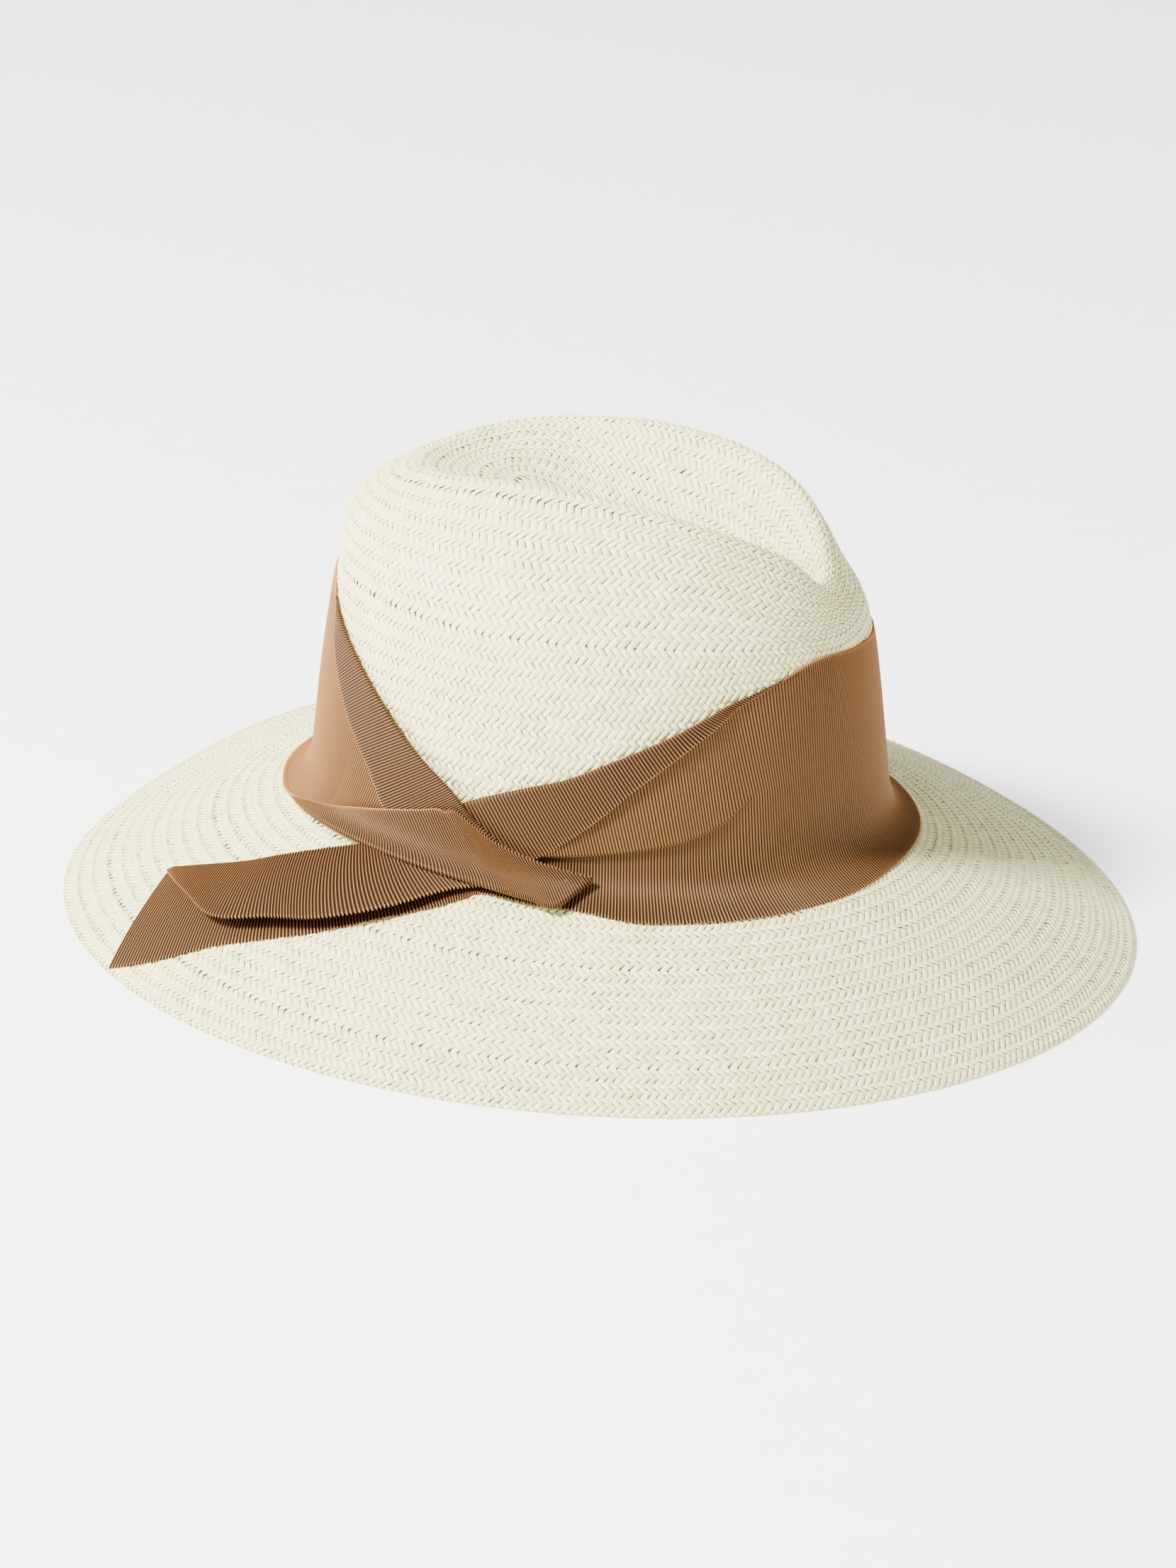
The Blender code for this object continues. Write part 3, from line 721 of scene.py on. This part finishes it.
def make_ribbon(wall):
    # the groove colour is painted shade between the ribs, far darker than the ribbon's own tan; the reverse
    # takes it in full everywhere
    shade_between_ribs, gloss = (0.006, 0.0020, 0.0007), (1.0, 0.74, 0.48)
    face = grosgrain_finish("tan_grosgrain", (0.215, 0.089, 0.0205), shade_between_ribs,
                            0.66, 0.32, 0.06, 0.42, gloss)
    back = grosgrain_finish("tan_grosgrain_reverse", (0.200, 0.078, 0.0175), shade_between_ribs,
                            0.66, 0.0, 0.03, 0.48, gloss)
    over = make_strand(wall, "ribbon_over_strand", OVER_STRAND, OVER_GAPS, OVER_PARTS,
                       (face, back))
    under = make_strand(wall, "ribbon_under_strand", UNDER_STRAND, UNDER_GAPS, UNDER_PARTS,
                        (back, face), smooth_to=EASED_SHADE_TO, slack=FULL_SHADE_REACH)
    for piece in (over, under):
        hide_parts("ribbon_band")
    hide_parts("ribbon_short_end")
    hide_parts("ribbon_tail")
    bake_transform(over)
    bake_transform(under)


# ---- the sweatband, its tape and the threads ------------------------------------------------
SWEATBAND_LOW = 44.5
SWEATBAND_HIGH = 73.0
SWEATBAND = 0.8             # its thickness over a rib
SWEATBAND_INSET = 1.55      # its outer face, inside the crown's outer face
SWEATBAND_ROUND = 520.0     # a nominal length, which sets how many ribs it has
TAPE_LOW = 49.7             # the lower end of the tape over its joined ends
TAPE_LENGTH = 22.0
TAPE_TURN = 0.009           # half the tape's width, as a share of the way round
TAPE = 0.6
TAPE_INSET = 0.45           # its middle, inside the sweatband's inner face


def inside_crown(turn, height, inset):
    """Points and inward normals at an inset from the crown's outer face."""
    levels = np.linspace(0.0, 1.2, 90)
    rows = crown_points(turn, levels)
    place = np.stack([np.interp(height, rows[:, j, 2], np.arange(len(levels)))
                      for j in range(len(turn))], axis=1)
    low = np.minimum(place.astype(int), len(levels) - 2)
    column = np.arange(len(turn))[None, :]
    part = (place - low)[..., None]
    point = rows[low, column] * (1 - part) + rows[low + 1, column] * part
    round_way = np.gradient(rows, axis=1)
    up = np.gradient(rows, axis=0)
    normal = unit(np.cross(up, round_way))[low, column]
    return point + normal * inset, normal


def make_sweatband(ivory):
    count = int(SWEATBAND_ROUND / RIB * ROWS_A_RIB)
    turn = np.linspace(0.0, 1.0, count + 1)
    height = np.linspace(SWEATBAND_LOW, SWEATBAND_HIGH, 13)
    points, _ = inside_crown(turn, height, SWEATBAND_INSET + SWEATBAND / 2)
    points[:, 0] = points[:, -1] = (points[:, 0] + points[:, -1]) / 2
    points = points.transpose(1, 0, 2)
    run = turn * round(SWEATBAND_ROUND / RIB) * RIB
    piece = grosgrain_mesh("sweatband_ribbed", points, run, SWEATBAND, ivory)
    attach(piece, "hat")
    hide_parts("sweatband")


def make_tape(ivory):
    run = np.arange(0.0, TAPE_LENGTH, RIB / ROWS_A_RIB)
    height = TAPE_LOW + run
    turn = 0.5 + np.linspace(-TAPE_TURN, TAPE_TURN, 11)
    points, _ = inside_crown(turn, height, SWEATBAND_INSET + SWEATBAND + TAPE_INSET)
    piece = grosgrain_mesh("join_tape_ribbed", points, run, TAPE, ivory)
    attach(piece, "hat")
    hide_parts("sweatband_join_tape")


HEM_STITCHES = 236
SEAM_STITCHES = 170
STITCH_STEPS = 9
SEAM_UP = 3.0               # the seam, above the sweatband's lower edge
HEM_THREAD = 0.2            # radii of the threads
SEAM_THREAD = 0.22
TACK_THREAD = 0.16
TACKS = np.array([-4.0, -1.0])  # where the two tacks are under the crossing, round the crown
TACK_UP = 14.0              # and up it
TACK_LIFT = 3.4             # how far out from the crown their middles are
TACK_BITE = 1.2             # and how far they reach to either side of that


def thread_finish(name, colour):
    """Two-ply sewing cotton, its twist shown by a wave round and along it: painted shade between the plies,
    mixed with fuzz of random tone, and a bump.
    """
    made = Finish(name)
    ply = made.node("ShaderNodeAttribute", attribute_name="ply").outputs["Vector"]
    parts = made.node("ShaderNodeSeparateXYZ", {"Vector": ply})
    turns = made.math("ADD", made.math("MULTIPLY", parts.outputs["X"], 9.0),
                      made.math("MULTIPLY", parts.outputs["Y"], 2.0))
    twist = made.remap(made.math("SINE", turns), 0.0, 1.0)
    fuzz = made.noise(made.scaled(ply, (4.0, 3.0, 9.0)), 1.0, 3.0, 0.7)
    # painted shade: the thread darkens along the twist's wave, where the plies meet
    twist_shade = tuple(0.6 * c for c in colour)
    made.colour(made.mix(made.math("ADD", made.math("MULTIPLY", twist, 0.5),
                                   made.math("MULTIPLY", fuzz, 0.5)), twist_shade, colour))
    made.roughness(made.remap(fuzz, 0.55, 0.8))
    made.bump(made.math("ADD", twist, fuzz), 0.5, 0.08)
    made.set(Sheen_Weight=0.3)
    return made.material


def threads(name, paths, radius, finish, node):
    """Thin tubes along paths (count, points, 3), closed to a point at both ends."""
    count, steps, _ = paths.shape
    sides = 9
    tangent = unit(np.gradient(paths, axis=1))
    side = unit(np.cross(tangent, np.broadcast_to((0.31, 0.42, 0.85), tangent.shape)))
    up = np.cross(tangent, side)
    angle = np.linspace(0.0, 2 * math.pi, sides)
    taper = np.full(steps, radius)
    taper[[0, -1]] = 0.02
    taper[[1, -2]] = 0.8 * radius
    circle = np.cos(angle)[:, None] * side[:, :, None] + np.sin(angle)[:, None] * up[:, :, None]
    points = paths[:, :, None] + circle * taper[None, :, None, None]
    piece = mesh_piece(name, points, grid_quads(count, steps, sides), finish)
    run = np.linalg.norm(np.diff(paths, axis=1), axis=2)
    run = np.concatenate([np.zeros((count, 1)), np.cumsum(run, axis=1)], axis=1)[..., None]
    shape = points.shape[:3]
    mark(piece, "ply", np.stack([np.broadcast_to(run, shape), np.broadcast_to(angle, shape),
                                 np.broadcast_to(np.arange(count)[:, None, None], shape)], axis=-1))
    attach(piece, "hat")
    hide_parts(node)
    return piece


def stitches(count, length_share, bite):
    """Where each stitch's points lie round the hat, and how far out of the cloth they stand."""
    place = np.linspace(-0.5, 0.5, STITCH_STEPS)
    turn = (np.arange(count)[:, None] + 0.5 + place * length_share) / count
    out = bite * np.cos(place * math.pi) ** 0.5 - 0.25
    return turn, np.broadcast_to(out, turn.shape)


def make_threads(skin, wall):
    cream = thread_finish("cream_thread", (0.78, 0.73, 0.60))
    brown = thread_finish("tan_thread", (0.50, 0.28, 0.15))
    turn, out = stitches(HEM_STITCHES, 0.68, 0.5)
    point, normal = skin.at(turn, np.full(turn.shape, HEM_PLACE))
    threads("hem_stitches", point - normal * (UNDERSIDE + out)[..., None], HEM_THREAD,
            cream, "brim_hem_thread")
    turn, out = stitches(SEAM_STITCHES, 0.7, 0.45)
    flat = turn.ravel()
    point, normal = inside_crown(flat, np.array([SWEATBAND_LOW + SEAM_UP]),
                                 SWEATBAND_INSET + SWEATBAND)
    path = (point[0] + normal[0] * out.reshape(-1, 1)).reshape(*turn.shape, 3)
    threads("sweatband_stitches", path, SEAM_THREAD, cream, "sweatband_seam_thread")
    angle = np.linspace(0.0, 2 * math.pi, 25)
    loop_s = TACKS[:, None] + np.cos(angle)
    loop_d = TACK_UP + 0.3 * np.sin(angle)
    point, normal = wall.at(loop_s, np.broadcast_to(loop_d, loop_s.shape))
    path = point + normal * (TACK_LIFT + TACK_BITE * np.sin(angle))[None, :, None]
    threads("knot_tacks", path, TACK_THREAD, brown, "knot_tack_thread")


def make_lining():
    # the darker groove colour is painted shade between the ribs; the near-white selvedge loops are a
    # painted highlight
    ivory = grosgrain_finish("ivory_grosgrain", (0.82, 0.78, 0.68), (0.50, 0.45, 0.35), 0.3,
                             0.0, 0.4, 0.45, (1.0, 1.0, 1.0))
    make_sweatband(ivory)
    make_tape(ivory)


# ---- camera, light and floor --------------------------------------------------------------------
CAMERA_AZIMUTH = math.radians(-62.0)
CAMERA_ELEVATION = math.radians(22.7)
CAMERA_ROLL = math.radians(1.55)
CAMERA_DISTANCE = 1.8
CAMERA_AIM = (-0.00296, 0.0402)       # right and up of the origin, in metres
CAMERA_LENS = 120.7


def make_camera():
    a, e, r = CAMERA_AZIMUTH, CAMERA_ELEVATION, CAMERA_ROLL
    right = Vector((math.cos(a), math.sin(a), 0.0))
    back = Vector((math.sin(a) * math.cos(e), -math.cos(a) * math.cos(e), math.sin(e)))
    up = back.cross(right)
    rolled_right = right * math.cos(r) + up * math.sin(r)
    rolled_up = up * math.cos(r) - right * math.sin(r)
    place = back * CAMERA_DISTANCE
    aim = rolled_right * CAMERA_AIM[0] + rolled_up * CAMERA_AIM[1]
    away = (place - aim).normalized()
    side = rolled_up.cross(away).normalized()
    top = away.cross(side)
    data = bpy.data.cameras.new("camera")
    data.sensor_fit = "VERTICAL"
    data.sensor_height = 36.0
    data.lens = CAMERA_LENS
    camera = bpy.data.objects.new("camera", data)
    camera.matrix_world = Matrix.Translation(place) @ Matrix((side, top, away)).transposed().to_4x4()
    bpy.context.scene.collection.objects.link(camera)
    bpy.context.scene.camera = camera


def make_light(name, place, size, power, colour=(1.0, 1.0, 1.0)):
    data = bpy.data.lights.new(name, "AREA")
    data.shape = "DISK"
    data.size = size
    data.energy = power
    data.color = colour
    light = bpy.data.objects.new(name, data)
    light.location = place
    aim = Vector((0.0, 0.0, AIM_HEIGHT)) - Vector(place)
    light.rotation_euler = aim.to_track_quat("-Z", "Y").to_euler()
    bpy.context.scene.collection.objects.link(light)


FLOOR_GLOW = 1.1            # the floor is lit from behind, like a light table
FLOOR_REACH = 6.0           # half its width, in metres
ROOM_LIGHT = 0.58           # even light from all round
AIM_HEIGHT = 0.06           # where the lights point


def make_studio():
    world = bpy.data.worlds.new("studio")
    world.use_nodes = True
    world.node_tree.nodes["Background"].inputs["Color"].default_value = (1.0, 1.0, 1.0, 1.0)
    world.node_tree.nodes["Background"].inputs["Strength"].default_value = ROOM_LIGHT
    bpy.context.scene.world = world
    make_light("key", (-1.5, 0.9, 2.0), 0.5, 330.0, (1.0, 0.99, 0.97))
    make_light("fill", (-0.4, -2.2, 1.3), 1.4, 18.0)
    make_light("rim", (-1.2, 2.0, 0.8), 1.0, 90.0)
    floor = Finish("paper_floor")
    grain = floor.noise(floor.node("ShaderNodeTexCoord").outputs["Object"], 60.0, 2.0)
    floor.colour(floor.ramp(grain, [(0.3, (0.90, 0.90, 0.90)), (0.7, (0.93, 0.93, 0.93))]))
    floor.roughness(0.9)
    floor.set(Emission_Color=(1.0, 1.0, 1.0, 1.0), Emission_Strength=FLOOR_GLOW)
    corners = np.array([(-1, -1, 0), (1, -1, 0), (1, 1, 0), (-1, 1, 0)]) * FLOOR_REACH / MM
    sheet = mesh_piece("paper_floor", corners, np.array([[0, 1, 2, 3]]), floor.material)


make_camera()
make_studio()
skin = straw_skin()
make_straw(skin)
wall = Wall()
make_ribbon(wall)
make_lining()
make_threads(skin, wall)
